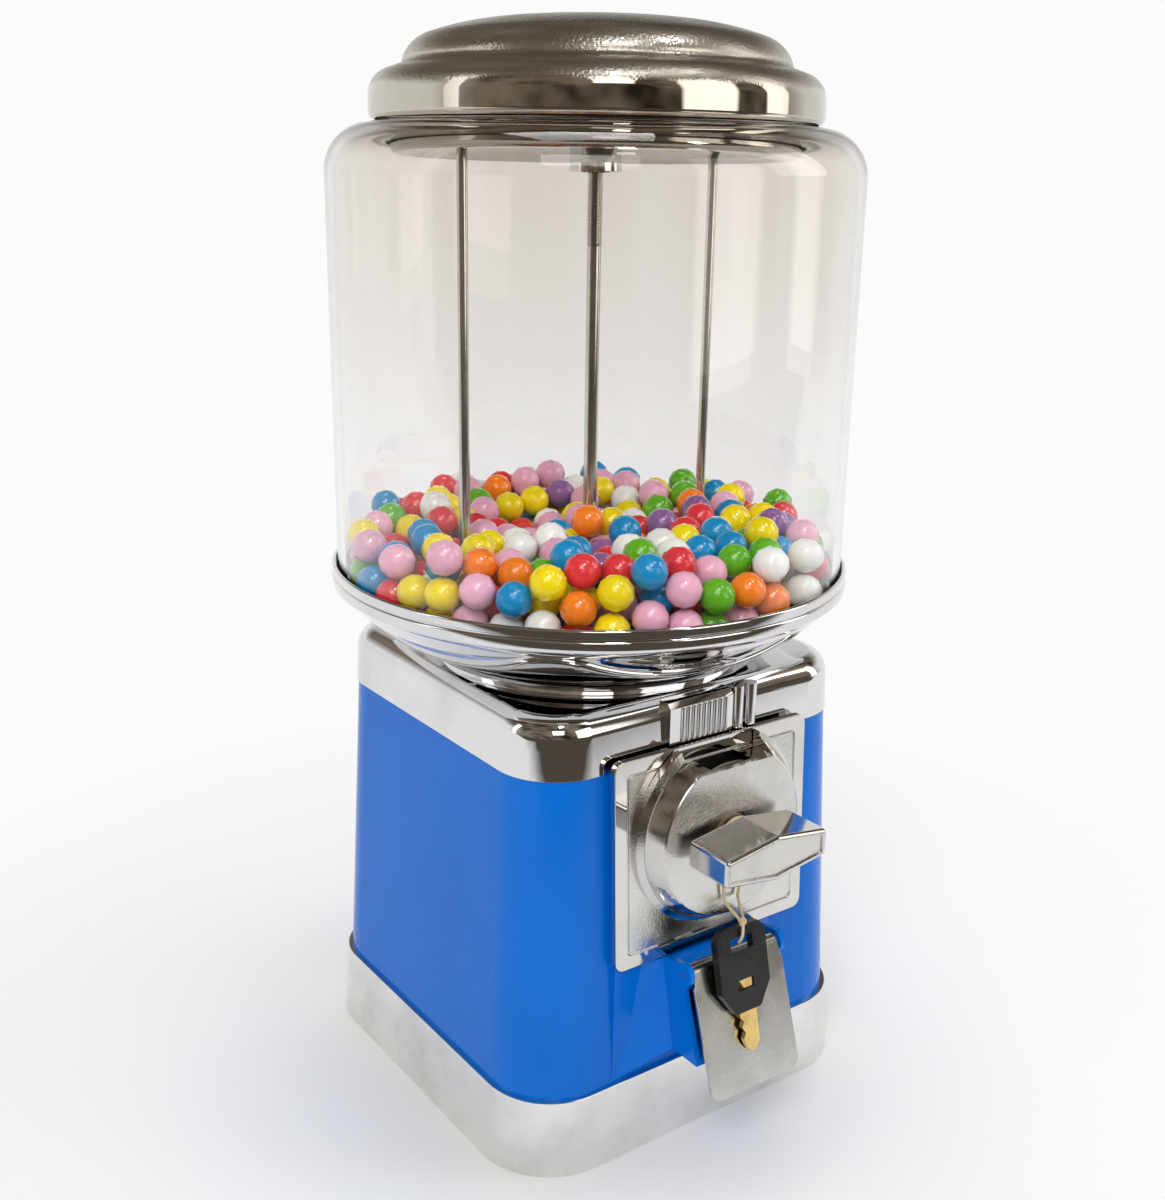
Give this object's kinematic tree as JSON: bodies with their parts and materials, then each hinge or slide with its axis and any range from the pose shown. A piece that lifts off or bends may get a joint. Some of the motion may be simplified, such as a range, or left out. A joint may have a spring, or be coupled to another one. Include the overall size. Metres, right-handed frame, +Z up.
{
  "type": "gumball machine",
  "caption": "Coin-operated gumball machine with a clear round globe on a polished dish, a square painted body, a turning handle, a flap door and a hanging key.",
  "frame": {"origin": "centre of the foot's underside, on the table", "axes": "+Z up; the coin mechanism and the door face -Y; +X is to the viewer's right when facing them"},
  "size_m": [0.208, 0.2236, 0.4198],
  "materials": {
    "polished_aluminium": "polished",
    "plated_sheet": "satin",
    "blue_enamel": "gloss",
    "chrome": "mirror",
    "cast_grey": "cast",
    "clear_globe": "clear",
    "black_rubber": "matt",
    "steel_rod": "satin",
    "brass": "satin",
    "white_plastic": "satin",
    "cast_chrome": "fine cast",
    "satin_steel": "satin",
    "black_plastic": "gloss",
    "tan_rubber": "matt",
    "sugar_pink": "sugar gloss",
    "sugar_red": "sugar gloss",
    "sugar_yellow": "sugar gloss",
    "sugar_blue": "sugar gloss",
    "sugar_white": "sugar gloss",
    "sugar_green": "sugar gloss",
    "sugar_orange": "sugar gloss",
    "sugar_purple": "sugar gloss"
  },
  "bodies": {
    "machine": {"foot": "polished_aluminium", "bottom_plate": "plated_sheet", "base_screws": "plated_sheet", "rod_nut": "plated_sheet", "side_rod_nuts": "plated_sheet", "housing_screws": "plated_sheet", "mech_frame": "plated_sheet", "mech_standoffs": "plated_sheet", "chute": "plated_sheet", "body_shell": "blue_enamel", "collar": "chrome", "dish": "chrome", "door_pin": "chrome", "wheel_housing": "cast_grey", "globe": "clear_globe", "globe_gasket": "black_rubber", "brush": "black_rubber", "centre_rod": "steel_rod", "side_rods": "steel_rod", "pawl_pin": "steel_rod", "shaft_bush": "brass", "brush_cover": "white_plastic", "coin_plate": "cast_chrome", "coin_drum": "cast_chrome", "key_band": "tan_rubber", "gumballs_pink": "sugar_pink", "gumballs_red": "sugar_red", "gumballs_yellow": "sugar_yellow", "gumballs_blue": "sugar_blue", "gumballs_white": "sugar_white", "gumballs_green": "sugar_green", "gumballs_orange": "sugar_orange", "gumballs_purple": "sugar_purple"},
    "lid": {"lid": "chrome", "lid_gasket": "black_rubber", "lid_tray": "plated_sheet", "lid_sleeve": "chrome", "lock_body": "chrome"},
    "lock": {"lock_plug": "brass"},
    "knob": {"handle": "cast_chrome", "shaft": "steel_rod", "shaft_nut": "plated_sheet", "pinion": "cast_grey", "ratchet": "cast_grey", "coin_carrier": "cast_grey"},
    "wheel": {"dispensing_wheel": "white_plastic"},
    "door": {"door": "satin_steel"},
    "key": {"key_head": "black_plastic", "key_blade": "brass"},
    "pawl": {"pawl": "cast_grey"}
  },
  "joints": [
    {"name": "lid_lift", "type": "slide", "parent": "machine", "child": "lid", "axis": [0, 0, 1], "range_m": [0, 0.08]},
    {"name": "lock_turn", "type": "hinge", "parent": "lid", "child": "lock", "pos_m": [0, 0, 0.4198], "axis": [0, 0, 1], "range_deg": [0, 90]},
    {"name": "handle_turn", "type": "hinge", "parent": "machine", "child": "knob", "pos_m": [0, -0.08, 0.1298], "axis": [0, 1, 0], "continuous": true},
    {"name": "wheel_turn", "type": "hinge", "parent": "machine", "child": "wheel", "pos_m": [0, 0, 0.16], "axis": [0, 0, 1], "continuous": true},
    {"name": "door_swing", "type": "hinge", "parent": "machine", "child": "door", "pos_m": [0, -0.0973, 0.079], "axis": [-1, 0, 0], "range_deg": [0, 65]},
    {"name": "key_swing", "type": "hinge", "parent": "machine", "child": "key", "pos_m": [-0.0019, -0.103, 0.0885], "axis": [-1, 0, 0], "range_deg": [0, 65]},
    {"name": "pawl_lift", "type": "hinge", "parent": "machine", "child": "pawl", "pos_m": [0.018, -0.068, 0.1388], "axis": [0, 1, 0], "range_deg": [0, 12]}
  ],
  "couplings": [
    {"joint": "wheel_turn", "follows": "handle_turn", "ratio": 0.33333},
    {"joint": "key_swing", "follows": "door_swing", "ratio": 1}
  ]
}
